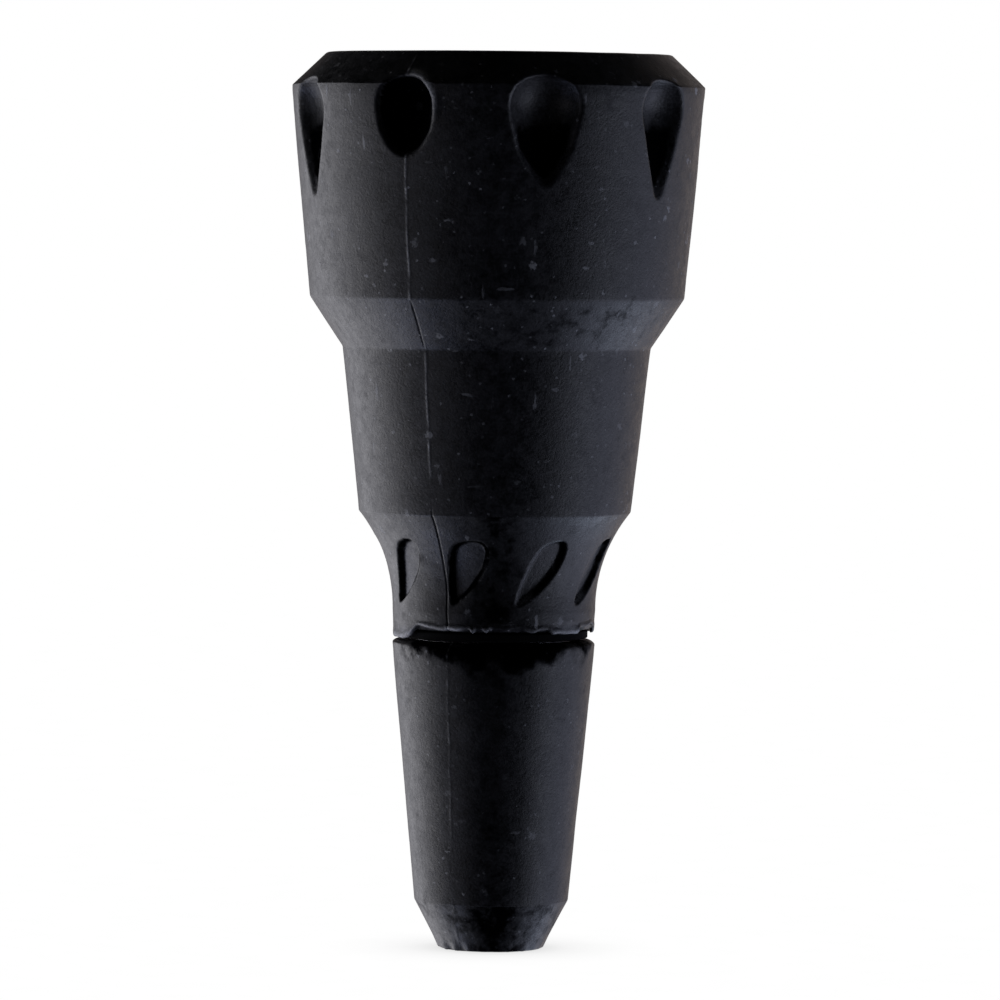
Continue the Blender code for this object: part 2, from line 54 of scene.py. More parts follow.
# Heights and radii that the CAD model gives.
PLUG_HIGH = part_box("plug_cone")[1]
SLEEVE_LOW, SLEEVE_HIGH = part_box("grip_sleeve")
SEAL_LOW, SEAL_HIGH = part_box("ejector_seal")
RING_LOW, RING_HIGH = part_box("mouth_ring")
SOCKET_LOW, SOCKET_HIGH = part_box("ejector_socket")
STRAINER_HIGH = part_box("strainer_cup")[1]
WASHER_LOW, WASHER_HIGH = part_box("lower_washer")
PLUG_TOP_Z = PLUG_HIGH.z
PLUG_TOP_RADIUS = PLUG_HIGH.x
HEM_Z = SLEEVE_LOW.z
MOUTH_Z = SLEEVE_HIGH.z
COLLAR_TOP_RADIUS = SLEEVE_HIGH.y
WIDEST = min(SLEEVE_HIGH.x, SLEEVE_HIGH.y)

# The grip's outline, as in the CAD model.
HEM_RADIUS = 5.0 * MM
NECK_RADIUS = 5.07 * MM
NECK_Z = HEM_Z + 0.9 * MM
BARREL_LOW_RADIUS = 6.8 * MM
BARREL_Z = HEM_Z + 5.8 * MM
BARREL_TOP_RADIUS = 7.7 * MM
SHOULDER_Z = BARREL_Z + 8.2 * MM
COLLAR_LOW_RADIUS = 9.36 * MM
COLLAR_Z = SHOULDER_Z + 2.5 * MM
RIM_Z = COLLAR_Z + 10.5 * MM
MOUTH_FACE_RADIUS = 8.6 * MM
MOUTH_BORE = RING_HIGH.x + 0.1 * MM
SLEEVE_BORE = 7.1 * MM
SLEEVE_BORE_TOP_Z = MOUTH_Z - 1.35 * MM
NECK_BORE = 4.06 * MM
HEM_SKIN_RADIUS = HEM_RADIUS - 0.19 * MM

# Bores seen down the mouth, as in the CAD model.
SOCKET_BORE = 3.35 * MM
SOCKET_FLOOR_BORE = 2.3 * MM
STRAINER_SEAT = 2.95 * MM
SEAL_LIP = 3.0 * MM
SEAL_WAIST = 3.7 * MM

# Dimples: a chain of three balls each, as (radius, height under the rim, how far it sinks in).
DIMPLE_PITCH = math.radians(40)
DIMPLE_TURN = math.radians(-27)
DIMPLE_BALLS = (
    (1.92 * MM, 1.15 * MM, 1.3 * MM),
    (1.58 * MM, 2.75 * MM, 0.95 * MM),
    (0.5 * MM, 4.5 * MM, 0.3 * MM),
)
SIDE_DIMPLE_BALLS = (
    (1.75 * MM, 1.2 * MM, 1.15 * MM),
    (1.15 * MM, 3.0 * MM, 0.75 * MM),
    (0.3 * MM, 5.2 * MM, 0.2 * MM),
)
SEAM_DIMPLE_BALLS = (
    (1.44 * MM, 1.0 * MM, 1.45 * MM),
    (1.42 * MM, 1.75 * MM, 1.25 * MM),
    (1.15 * MM, 2.4 * MM, 0.85 * MM),
)

# The dimples that are wider than the rest. The seam dimple is number 0.
WIDE_DIMPLES = (1, 3, 6)
DIMPLE_PASSES = 30

# Leaves: points (along, up) in millimetres from the tip, and the width of the wall that follows each.
LEAF_PITCH = math.radians(40)
LEAF_TURN = math.radians(-28)
LEAF_TIP_Z = HEM_Z + 1.15 * MM
LEAF_DEPTH = 0.31 * MM
GENTLE, STEEP, TOP_WALL = 0.30 * MM, 0.25 * MM, 0.22 * MM
LEAF = (
    (0.00, 0.00, GENTLE),
    (0.33, 1.10, GENTLE),
    (0.71, 2.15, GENTLE),
    (1.12, 2.95, GENTLE),
    (1.55, 3.35, TOP_WALL),
    (2.35, 3.45, STEEP),
    (2.66, 3.10, STEEP),
    (2.62, 2.35, STEEP),
    (2.10, 1.40, STEEP),
    (0.95, 0.38, STEEP),
)
SEAM_LEAF = (
    (0.00, 0.00, STEEP),
    (-0.14, 0.80, STEEP),
    (-0.13, 1.60, STEEP),
    (0.08, 2.75, STEEP),
    (0.50, 3.30, TOP_WALL),
    (1.40, 3.48, STEEP),
    (1.95, 3.30, STEEP),
    (2.14, 2.65, STEEP),
    (1.82, 1.75, STEEP),
    (1.02, 0.72, STEEP),
)

# The torn hem, as (middle, half width) of a stretch in degrees round the axis.
RIGHT_SHRED = (46, 14)
LEFT_FLAP = (-66, 18)

# Where its edge is rolled: (middle, half width) in degrees, how sharply it ends, and how thick it is.
HEM_ROLLS = (
    (-36, 22, 0.5, 0.7),
    (-19, 9, 0.5, 0.6),
    (-12, 2.6, 0.6, 0.8),
    (-4, 3, 0.6, 0.45),
    (24, 10, 0.5, 0.3),
    (*RIGHT_SHRED, 0.3, 1.0),
    (*LEFT_FLAP, 0.5, 1.0),
    (150, 30, 0.6, 0.4),
    (-130, 24, 0.5, 0.4),
)

# Mould seams.
SEAM_TURNS = (math.radians(-27), math.radians(153))
SEAM_WIDTH = 0.075 * MM
GROOVE_WIDTH = 0.045 * MM

# Camera.
CAMERA_DISTANCE = 0.365
VIEW_WIDTH = 0.050
CAMERA_ROLL = math.radians(0.58)

# Plug.
PLUG_TIP_RADIUS = 3.85 * MM
PLUG_TIP_Z = 2.4 * MM
PLUG_END_RADIUS = 2.6 * MM
PLUG_END_BORE = 1.7 * MM
PLUG_BORE = 3.0 * MM
PLUG_FLANGE_BORE = 4.0 * MM
PLUG_FOOT_Z = 1.63 * MM


# ---------------------------------------------------------------- shape tools


def trace(corners):
    """A closed outline through corners of (radius, height, fillet, spacing of the next stretch)."""
    count = len(corners)
    starts, arcs = [], []
    for i, (radius, height, fillet, _) in enumerate(corners):
        here = np.array([radius, height])
        back = np.array(corners[i - 1][:2]) - here
        ahead = np.array(corners[(i + 1) % count][:2]) - here
        back_length, ahead_length = np.linalg.norm(back), np.linalg.norm(ahead)
        back, ahead = back / back_length, ahead / ahead_length
        half = math.acos(np.clip(back @ ahead, -1, 1)) / 2
        if fillet == 0 or half > math.radians(89):
            arcs.append([here])
            continue
        reach = min(fillet / math.tan(half), 0.49 * back_length, 0.49 * ahead_length)
        round_radius = reach * math.tan(half)
        middle = here + (back + ahead) / np.linalg.norm(back + ahead) * round_radius / math.sin(half)
        steps = max(3, math.ceil((math.pi - 2 * half) / math.radians(11)))
        first = here + back * reach - middle
        last = here + ahead * reach - middle
        sweep = math.pi - 2 * half
        share = np.arange(steps + 1) / steps
        weights = np.stack([np.sin((1 - share) * sweep), np.sin(share * sweep)], 1) / math.sin(sweep)
        arcs.append([middle + a * first + b * last for a, b in weights])
    for i, arc in enumerate(arcs):
        starts.extend(arc)
        following = arcs[(i + 1) % count][0]
        gap = np.linalg.norm(following - arc[-1])
        steps = max(1, math.ceil(gap / corners[i][3]))
        starts.extend(arc[-1] + (following - arc[-1]) * k / steps for k in range(1, steps))
    return np.array(starts)


def even_turns(count):
    return np.arange(count) * 2 * math.pi / count - math.pi


def seam_turns(count, extra=14, reach=math.radians(2.2)):
    """Even turns with finer ones across the two mould seams."""
    fine = [seam + np.linspace(-reach, reach, extra) for seam in SEAM_TURNS]
    turns = np.concatenate([even_turns(count), *fine])
    turns = np.sort((turns + math.pi) % (2 * math.pi) - math.pi)
    return turns[np.append(np.diff(turns) > math.radians(0.05), True)]


def outward(outline):
    """The outward normal at each point of a closed outline."""
    along = np.roll(outline, -1, 0) - np.roll(outline, 1, 0)
    normal = np.stack([-along[:, 1], along[:, 0]], 1)
    return normal / np.linalg.norm(normal, axis=1)[:, None]


def turned(name, outline, turns, shape=None):
    """A closed ring turned about Z.

    shape(turn, radius, height, normal) says how far each point moves out and up, and gives its rubbing
    marks and painted highlight, and its painted shade. Moved points stay inside the CAD model's box.
    """
    rows, columns = len(outline), len(turns)
    radius = np.repeat(outline[:, :1], columns, 1)
    height = np.repeat(outline[:, 1:], columns, 1)
    turn = np.repeat(turns[None, :], rows, 0)
    marks = {}
    if shape:
        out, up, marks = shape(turn, radius, height, outward(outline))
        radius, height = np.minimum(radius + out, WIDEST), np.clip(height + up, 0, MOUTH_Z)
    points = np.stack([radius * np.sin(turn), -radius * np.cos(turn), height], 2).reshape(-1, 3)
    i, j = np.meshgrid(np.arange(rows), np.arange(columns), indexing="ij")
    below, right = (i + 1) % rows, (j + 1) % columns
    corners = [i * columns + j, below * columns + j, below * columns + right, i * columns + right]
    faces = np.stack(corners, 2).reshape(-1, 4)
    mesh = bpy.data.meshes.new(name)
    mesh.from_pydata(points.tolist(), [], faces.tolist())
    mesh.shade_smooth()
    for mark, values in marks.items():
        layer = mesh.attributes.new(mark, "FLOAT", "POINT")
        layer.data.foreach_set("value", np.clip(values, 0, 1).ravel().astype(np.float32))
    piece = bpy.data.objects.new(name, mesh)
    bpy.context.scene.collection.objects.link(piece)
    return piece


def smooth_step(low, high, value):
    share = np.clip((value - low) / (high - low), 0, 1)
    return share * share * (3 - 2 * share)


def band(value, middle, width):
    """1 at a middle, falling away smoothly on both sides."""
    return np.exp(-(((value - middle) / width) ** 2))


def waves(value, seed, count, lowest=1):
    """A repeatable wavy line over a turn or a length, between about -1 and 1."""
    rng = np.random.default_rng(seed)
    total = np.zeros_like(value)
    for k in range(lowest, lowest + count):
        total += np.sin(k * value + rng.uniform(0, 2 * math.pi)) * rng.uniform(0.5, 1)
    return total / (0.55 * math.sqrt(count) * 1.6)


def wrap(turn, pitch):
    """A turn counted from the nearest multiple of the pitch."""
    return (turn + pitch / 2) % pitch - pitch / 2


def blurred(field, passes):
    """A grid softened along and across, round the axis."""
    for _ in range(passes):
        field = (np.roll(field, 1, 1) + 2 * field + np.roll(field, -1, 1)) / 4
        field = (np.roll(field, 1, 0) + 2 * field + np.roll(field, -1, 0)) / 4
    return field


# ---------------------------------------------------------------- grip


def collar_radius(height):
    share = (height - COLLAR_Z) / (RIM_Z - COLLAR_Z)
    return COLLAR_LOW_RADIUS + (COLLAR_TOP_RADIUS - COLLAR_LOW_RADIUS) * share


def round_cone(across, out, height, ball, ball_radius, tip, tip_radius):
    """Distance to a ball that tapers to a smaller ball.

    Both centres are (radius, height) in the plane where across is 0.
    """
    axis = np.array(tip) - np.array(ball)
    length2 = axis @ axis
    shrink = ball_radius - tip_radius
    slant2 = length2 - shrink**2
    dx, dy, dz = across, out - ball[0], height - ball[1]
    along = dy * axis[0] + dz * axis[1]
    beyond = along - length2
    side2 = (dx * length2) ** 2 + (dy * length2 - axis[0] * along) ** 2
    side2 = side2 + (dz * length2 - axis[1] * along) ** 2
    k = shrink**2 * side2
    cone = (np.sqrt(side2 * slant2 / length2) + along * shrink) / length2 - ball_radius
    small = np.sqrt(side2 + beyond**2 * length2) / length2 - tip_radius
    large = np.sqrt(side2 + along**2 * length2) / length2 - ball_radius
    distance = np.where(np.sign(along) * slant2 * along**2 * length2 < k, large, cone)
    return np.where(np.sign(beyond) * slant2 * beyond**2 * length2 > k, small, distance)


def chain_gap(across, out, height, balls):
    """Distance to a chain of balls, each (radius, drop under the rim, depth), joined by cones."""
    places = []
    for ball_radius, drop, sink in balls:
        middle = RIM_Z - drop
        places.append(((collar_radius(middle) - sink + ball_radius, middle), ball_radius))
    gap = None
    for (ball, ball_radius), (tip, tip_radius) in zip(places, places[1:], strict=False):
        link = round_cone(across, out, height, ball, ball_radius, tip, tip_radius)
        gap = link if gap is None else np.minimum(gap, link)
    return gap


def dimple_depth(turn, radius, height, balls):
    """How far a point moves in to reach the dimple's wall, and how far off the wall it started."""
    depth = np.zeros_like(turn)
    edge = None
    for _ in range(DIMPLE_PASSES):
        out = radius - depth
        gap = chain_gap(out * np.sin(turn), out * np.cos(turn), height, balls)
        edge = gap if edge is None else edge
        depth = depth + np.maximum(-gap, 0)
    return depth, edge


def dimples(turn, radius, height):
    """Depth of all the dimples, the seam dimple's raised lip, and their painted highlight and painted
    shade.
    """
    local = wrap(turn - DIMPLE_TURN, DIMPLE_PITCH)
    number = np.round((turn - DIMPLE_TURN - local) / DIMPLE_PITCH).astype(int) % 9
    depth, edge = dimple_depth(local, radius, height, SIDE_DIMPLE_BALLS)
    for balls, numbers in ((DIMPLE_BALLS, WIDE_DIMPLES), (SEAM_DIMPLE_BALLS, (0,))):
        other, other_edge = dimple_depth(local, radius, height, balls)
        chosen = np.isin(number, numbers)
        depth, edge = np.where(chosen, other, depth), np.where(chosen, other_edge, edge)
    # Painted highlight: a pale crescent on the seam dimple's lip, at its upper right.
    high = np.where(number == 0, smooth_step(RIM_Z - 1.9 * MM, RIM_Z - 0.8 * MM, height), 0)
    high = high * smooth_step(-0.02, 0.05, local)
    line = band(edge, 0.2 * MM, 0.19 * MM) * (edge > 0)
    lip = 0.09 * MM * high * line
    near = (height > RIM_Z - 6.2 * MM) & (radius > MOUTH_FACE_RADIUS - 0.1 * MM)
    # Painted shade: the seam dimple black all over, the other dimples black in their lower parts.
    black = np.where(number == 0, 1, smooth_step(RIM_Z - 1.0 * MM, RIM_Z - 2.9 * MM, height))
    painted_shade = black * smooth_step(0.1 * MM, 0.5 * MM, depth) * near
    # Painted highlight: the other dimples paler in their upper parts.
    painted_top_highlight = 0.4 * smooth_step(0.1 * MM, 0.4 * MM, depth) * (1 - black) * near
    pale = np.maximum(high * line * near, painted_top_highlight)
    return blurred(np.where(near, depth, 0), 1), blurred(np.where(near, lip, 0), 1), pale, painted_shade


def rounded(points, passes=2):
    """A closed outline with its corners cut. Each point carries extra values, which follow it."""
    points = np.array(points)
    for _ in range(passes):
        following = np.roll(points, -1, 0)
        first, last = 0.75 * points + 0.25 * following, 0.25 * points + 0.75 * following
        first[:, 2:], last[:, 2:] = points[:, 2:], points[:, 2:]
        points = np.stack([first, last], 1).reshape(-1, points.shape[1])
    return points


def wall_share(x, y, outline):
    """0 outside an outline and at its edge, rising to 1 where its walls reach the floor."""
    lowest = np.full(x.shape, 1e3)
    inside = np.zeros(x.shape, bool)
    for a, b in zip(outline, np.roll(outline, -1, 0), strict=True):
        edge = b[:2] - a[:2]
        share = np.clip(((x - a[0]) * edge[0] + (y - a[1]) * edge[1]) / (edge @ edge), 0, 1)
        distance = np.hypot(x - a[0] - edge[0] * share, y - a[1] - edge[1] * share)
        lowest = np.minimum(lowest, distance / a[2])
        rises = (a[1] > y) != (b[1] > y)
        slope = edge[1] if abs(edge[1]) > 1e-12 else 1e-12
        inside ^= rises & (x < a[0] + (y - a[1]) * edge[0] / slope)
    return np.where(inside, np.minimum(lowest, 1), 0)


def leaves(turn, height):
    """Depth of the leaf recesses, painted shade on their walls, and painted highlight on their floors
    and on the lit left walls.
    """
    lead = math.radians(13)
    local = wrap(turn - LEAF_TURN - lead, LEAF_PITCH) + lead
    number = np.round((turn - LEAF_TURN - local) / LEAF_PITCH).astype(int) % 9
    up = height - LEAF_TIP_Z
    depth, share = np.zeros_like(turn), np.zeros_like(turn)
    for points, chosen, shift in ((LEAF, number != 0, -0.15 * MM), (SEAM_LEAF, number == 0, 0.33 * MM)):
        outline = [(x * MM, y * MM, wall) for x, y, wall in points]
        across = local * (NECK_RADIUS + 0.3 * MM) - shift
        down = wall_share(across, up, rounded(outline))
        carved = LEAF_DEPTH * down
        if points is SEAM_LEAF:
            carved = carved * np.clip(1.45 - 0.42 * across / MM, 0.4, 1.4)
        depth, share = np.where(chosen, carved, depth), np.where(chosen, down, share)
    # Painted shade on the walls, except the left walls of the leaves right of the front, which get a
    # painted highlight instead.
    wall = smooth_step(0.05, 0.3, share) * smooth_step(0.95, 0.7, share)
    left = smooth_step(0.9 * MM, 0.4 * MM, local * NECK_RADIUS - 0.38 * up)
    lit = left * smooth_step(0.0, 0.12, turn) * smooth_step(2.8, 2.5, turn)
    black = np.clip(1.5 * blurred(wall * (1 - lit), 2), 0, 1)
    return depth, black, np.maximum(smooth_step(0.9, 1.0, share), 2 * wall * lit)


def line_across(turn, radius, height, i, lean=0.0):
    """Distance across a mould seam, which wanders a little."""
    length = height / MM
    wander = 0.03 * MM * waves(length * 0.8, 11 + i, 4)
    return wrap(turn - SEAM_TURNS[i] - lean, 2 * math.pi) * radius - wander


def seams(turn, radius, height):
    """Relief of the seams: raised on the collar and barrel, a fine groove on shoulder and neck."""
    relief, pale = np.zeros_like(turn), np.zeros_like(turn)
    length = height / MM
    groove = smooth_step(SHOULDER_Z - 0.1 * MM, SHOULDER_Z + 0.3 * MM, height)
    groove = groove * smooth_step(COLLAR_Z + 0.1 * MM, COLLAR_Z - 0.4 * MM, height)
    groove = np.maximum(groove, smooth_step(BARREL_Z + 0.3 * MM, BARREL_Z - 0.1 * MM, height))
    for i in range(2):
        across = line_across(turn, radius, height, i)
        tall = 0.65 + 0.3 * waves(length * 1.7, 21 + i, 6) + 0.25 * waves(length * 6, 31 + i, 5)
        tall = np.clip(tall, 0.1, 1.3)
        line = np.exp(-((across / SEAM_WIDTH) ** 2)) * tall * (1 - groove)
        hair = np.exp(-((across / GROOVE_WIDTH) ** 2)) * groove
        relief = relief + (0.022 * line - 0.035 * hair) * MM
        pale = np.maximum(pale, line)
    return relief, pale


def unevenness(turn, height, seed):
    """The broad, shallow waviness of a moulded rubber surface."""
    length = height / MM
    slow = waves(turn, seed, 5, 2) * np.sin(length * 0.35 + 1)
    slow = slow + waves(turn + length * 0.21, seed + 1, 4, 3)
    quick = waves(turn * 2 + length * 0.6, seed + 2, 6, 5) * waves(length * 0.8 - turn, seed + 3, 4, 2)
    return 0.008 * MM * slow + 0.004 * MM * quick


def peak(turn, middle, half_width):
    """1 at a turn in degrees, falling in a straight line to 0 at a half width from it."""
    away = np.abs(wrap(turn - math.radians(middle), 2 * math.pi))
    return np.clip(1 - away / math.radians(half_width), 0, 1)


def hem_edge(turn):
    """How far the torn hem stands above or below its clean line."""
    teeth = np.abs(waves(turn, 5, 14, 9)) ** 1.5 * waves(turn, 6, 9, 4)
    ragged = 0.05 * waves(turn, 7, 7, 3) + 0.06 * teeth + 0.045 * waves(turn, 8, 14, 24)
    flap = 0.62 * smooth_step(0, 0.35, peak(turn, -84, 36))
    flap = flap + 0.26 * smooth_step(0, 0.35, peak(turn, *RIGHT_SHRED))
    sag = 0.16 * peak(turn, -30, 12) + 0.3 * peak(turn, 101, 22)
    shreds = 0.22 * peak(turn, -12, 2.2) + 0.16 * peak(turn, -4, 2.5) + 0.15 * peak(turn, 24, 9)
    torn = 0.2 * peak(turn, 160, 30) + 0.3 * peak(turn, -160, 12)
    return np.clip(0.14 + ragged - flap - sag - torn - shreds, -0.5, 0.3) * MM


def hem_roll(turn):
    """How thick and how pale the hem's rolled edge is, from 0 to 1."""
    stretches = sum(
        thick * smooth_step(0, sharp, peak(turn, middle, half_width))
        for middle, half_width, sharp, thick in HEM_ROLLS
    )
    stretches = stretches + 0.5 * peak(turn, 72, 10)
    uneven = np.clip(0.8 + 0.35 * waves(turn, 19, 14, 12), 0.3, 1.2)
    return np.clip(stretches * uneven, 0, 1)


def painted_front_shade(turn, height, skin, neck, leaf_floor):
    """Painted shade on the front of the shoulder and between the leaves, less on the leaf floors."""
    shoulder = skin * smooth_step(SHOULDER_Z - 0.1 * MM, SHOULDER_Z + 0.3 * MM, height)
    shoulder = shoulder * smooth_step(COLLAR_Z + 0.1 * MM, COLLAR_Z - 0.3 * MM, height)
    front_shade_share = np.maximum(0.38 * peak(turn, 14, 46) * shoulder, np.where(neck, 0.6 * peak(turn, 1, 24), 0))
    return front_shade_share * np.where(neck, 1 - 0.7 * np.clip(leaf_floor, 0, 1), 1)


def hem_marks(turn, above, roll):
    """Where the hem's rolled edge and its torn stretches are pale, from 0 to 1."""
    edge = band(above, 0.1 * MM, 0.16 * MM) * roll
    stretches = peak(turn, *RIGHT_SHRED) + 0.7 * peak(turn, *LEFT_FLAP)
    return np.maximum(edge, smooth_step(0.5 * MM, 0.3 * MM, above) * stretches * roll)


def grip_shape(turn, radius, height, normal):
    """Carves the sleeve's outside and leaves its bore as it is."""
    below_barrel = (height < BARREL_Z + 0.3 * MM) & (radius > NECK_BORE + 0.3 * MM)
    outside = (radius > MOUTH_BORE + 1 * MM) | below_barrel
    skin = outside & ~((radius <= SLEEVE_BORE + 0.02 * MM) & (height > SHOULDER_Z))
    neck = (height < BARREL_Z) & (height > HEM_Z + 0.3 * MM) & skin
    dimple, lip, dimple_highlight, dimple_shade = dimples(turn, radius, height)
    leaf_depth, leaf_wall_shade, leaf_floor = leaves(turn, height)
    relief, seam_pale = seams(turn, radius, height)
    rim_reach = radius + (MOUTH_Z - height)
    fade = smooth_step(MOUTH_FACE_RADIUS, MOUTH_FACE_RADIUS + 0.6 * MM, rim_reach)
    fade = fade * smooth_step(0.5 * MM, 0.1 * MM, dimple)
    offset = lip - np.where(neck, leaf_depth, 0)
    offset = offset + np.where(skin, relief * fade + unevenness(turn, height, 40), 0)
    above = height - HEM_Z
    hem_skin = skin & (radius > HEM_SKIN_RADIUS)
    near_hem = smooth_step(0.9 * MM, 0, above) * hem_skin
    roll = hem_roll(turn) * hem_skin
    bead = (0.03 + 0.09 * roll) * MM * band(above, 0.12 * MM, 0.13 * MM) * hem_skin
    crease = 0.06 * MM * roll * band(above, 0.38 * MM, 0.08 * MM) * peak(turn, *RIGHT_SHRED)
    out = normal[:, :1] * offset - np.where(skin, dimple, 0) + bead - crease
    up = normal[:, 1:] * offset + hem_edge(turn) * near_hem
    # Painted highlight on the leaf floors, strongest round the left flank.
    leaf_highlight = np.where(neck, (0.18 + 0.37 * peak(turn, -64, 20)) * leaf_floor, 0)
    # The pale share carries real rubbing on the seams and hem and the painted highlights in the dimples
    # and leaves.
    wear_and_highlight = np.maximum(0.6 * seam_pale * fade, hem_marks(turn, above, roll)) * skin
    wear_and_highlight = np.maximum(wear_and_highlight, np.maximum(0.5 * dimple_highlight, leaf_highlight))
    # Painted shade in the dimples, on the leaf walls and across the front.
    painted_shade = np.maximum(dimple_shade, np.where(neck, 0.85 * leaf_wall_shade, 0))
    painted_shade = np.maximum(painted_shade, painted_front_shade(turn, height, skin, neck, leaf_floor))
    return out, up, {"wear_and_highlight": wear_and_highlight, "painted_shade": painted_shade}


def neck_radius(height):
    """Radius of the neck: nearly straight above the hem, then an arc out to the barrel."""
    if height <= NECK_Z:
        return HEM_RADIUS + (NECK_RADIUS - HEM_RADIUS) * (height - HEM_Z) / (NECK_Z - HEM_Z)
    flare, rise = BARREL_LOW_RADIUS - NECK_RADIUS, BARREL_Z - NECK_Z
    arc = (rise**2 + flare**2) / (2 * flare)
    return NECK_RADIUS + arc - math.sqrt(arc**2 - (height - NECK_Z) ** 2)


def grip_outline():
    """The sleeve's section, from the mouth down the outside and up the bore."""
    fine, plain, rough = 0.10 * MM, 0.45 * MM, 1.4 * MM
    dimple_foot = RIM_Z - 5.7 * MM
    arc = np.linspace(BARREL_Z, NECK_Z, 64)[1:]
    neck = [(neck_radius(height), height, 0, fine) for height in arc]
    neck[-1] = (NECK_RADIUS, NECK_Z, 0, 0.07 * MM)
    return trace(
        [
            (MOUTH_BORE, MOUTH_Z, 0.2 * MM, plain),
            (MOUTH_FACE_RADIUS, MOUTH_Z, 0.3 * MM, fine),
            (COLLAR_TOP_RADIUS, RIM_Z, 0.16 * MM, fine),
            (collar_radius(dimple_foot), dimple_foot, 0, plain),
            (COLLAR_LOW_RADIUS, COLLAR_Z, 0.35 * MM, plain),
            (BARREL_TOP_RADIUS, SHOULDER_Z, 0.3 * MM, plain),
            (BARREL_LOW_RADIUS, BARREL_Z, 0.4 * MM, fine),
            *neck,
            (HEM_RADIUS, HEM_Z, 0.09 * MM, 0.1 * MM),
            (HEM_SKIN_RADIUS, HEM_Z, 0, rough),
            (NECK_BORE, HEM_Z, 0, rough),
            (NECK_BORE, BARREL_Z - 0.4 * MM, 0, rough),
            (5.5 * MM, BARREL_Z + 0.2 * MM, 0, rough),
            (5.5 * MM, COLLAR_Z + 0.6 * MM, 0, rough),
            (SLEEVE_BORE, COLLAR_Z + 1.2 * MM, 0, rough),
            (SLEEVE_BORE, SLEEVE_BORE_TOP_Z, 0, rough),
            (MOUTH_BORE, SLEEVE_BORE_TOP_Z, 0, plain),
        ]
    )


# ---------------------------------------------------------------- plug


def chew_height(turn):
    """How far down the plug's top edge is worn away, most at the front."""
    ragged = 0.10 * waves(turn, 101, 11, 5) + 0.06 * waves(turn, 102, 12, 17)
    front = 0.95 * smooth_step(0, 1, peak(turn, 2, 50)) + 0.35 * peak(turn, 175, 60)
    return np.clip(0.2 + front + ragged * (0.4 + front), 0.1, 1.3) * MM


def plug_shape(turn, radius, height, normal):
    """Carves the plug's outside: its seam, its worn top edge and its nibbled end, and paints shade on
    its top edge and front.
    """
    bore = (radius < PLUG_FLANGE_BORE + 0.15 * MM) & (height > PLUG_TIP_Z)
    outside = ~bore & ((normal[:, :1] > 0.2) | (radius > PLUG_END_BORE + 0.4 * MM))
    length = height / MM
    relief, pale = unevenness(turn, height, 60), np.zeros_like(turn)
    for i in range(2):
        lean = -math.radians(2.5) * (1 - length / 15) - math.radians(6) * smooth_step(2.4, 0, length)
        across = line_across(turn, radius, height, i, lean)
        tall = 0.7 + 0.3 * waves(length * 1.5, 81 + i, 6) + 0.3 * waves(length * 6, 91 + i, 5)
        tall = np.clip(tall, 0, 1.3)
        line = np.exp(-((across / SEAM_WIDTH) ** 2))
        relief = relief + 0.012 * MM * tall * line
        pale = np.maximum(pale, 0.3 * tall * line)
    chew = chew_height(turn)
    worn = np.clip((height - (PLUG_TOP_Z - chew)) / chew, 0, 1)
    low = smooth_step(0.7 * MM, 0, height)
    nibbled = 0.03 * MM * waves(turn, 111, 14, 12) * low * (normal[:, 1:] > -0.9)
    relief = np.where(outside, relief + nibbled, 0)
    rubber_side = radius > PLUG_FLANGE_BORE + 0.3 * MM
    out = normal[:, :1] * relief - np.where(outside, 0.7 * chew * worn**1.3, 0) * rubber_side
    up = normal[:, 1:] * relief
    # Painted shade along the chewed top edge, strongest at the front and the back.
    ragged = 0.22 * waves(turn, 121, 12, 7) + 0.1 * waves(turn + 0.3 * length, 122, 14, 19)
    shade_reach = np.maximum(smooth_step(0, 0.4, peak(turn, 4, 78)), peak(turn, 175, 60))
    above_chew = (height - (PLUG_TOP_Z - chew)) / MM + ragged - 0.1
    painted_shade = smooth_step(-1.1, 0.4, above_chew) * (0.15 + 0.85 * shade_reach)
    # Painted shade down the front and over the front of the end chamfer.
    plug_front_shade = (0.3 * peak(turn, 0, 100) + 0.5 * peak(turn, 4, 36)) * smooth_step(2.9, 2.2, length)
    plug_front_shade = np.maximum(plug_front_shade, 0.42 * smooth_step(0, 1, peak(turn, 1, 24))) * outside
    painted_shade = np.maximum(painted_shade, plug_front_shade)
    end_band = smooth_step(0.35, 0.0, np.abs(length - 0.3))
    end_wear = 0.12 * end_band * np.clip(waves(turn, 131, 14, 15), 0, 1)
    return out, up, {"wear_and_highlight": np.maximum(pale, end_wear) * outside, "painted_shade": painted_shade}


def plug_outline():
    plain, rough, fine = 0.40 * MM, 1.2 * MM, 0.07 * MM
    side = PLUG_TOP_RADIUS - PLUG_TIP_RADIUS
    chew_foot = PLUG_TOP_Z - 1.7 * MM
    chew_radius = PLUG_TIP_RADIUS + side * (chew_foot - PLUG_TIP_Z) / (PLUG_TOP_Z - PLUG_TIP_Z)
    return trace(
        [
            (PLUG_FLANGE_BORE, PLUG_TOP_Z, 0.1 * MM, 0.15 * MM),
            (PLUG_TOP_RADIUS, PLUG_TOP_Z, 0.2 * MM, fine),
            (chew_radius, chew_foot, 0, plain),
            (PLUG_TIP_RADIUS, PLUG_TIP_Z, 0.35 * MM, 0.16 * MM),
            (PLUG_END_RADIUS, 0, 0.2 * MM, 0.2 * MM),
            (PLUG_END_BORE, 0, 0.15 * MM, plain),
            (PLUG_END_BORE, PLUG_FOOT_Z, 0, rough),
            (PLUG_BORE, PLUG_FOOT_Z, 0, rough),
            (PLUG_BORE, PLUG_TOP_Z - 1 * MM, 0, rough),
            (PLUG_FLANGE_BORE, PLUG_TOP_Z - 1 * MM, 0, rough),
        ]
    )


# ---------------------------------------------------------------- node materials


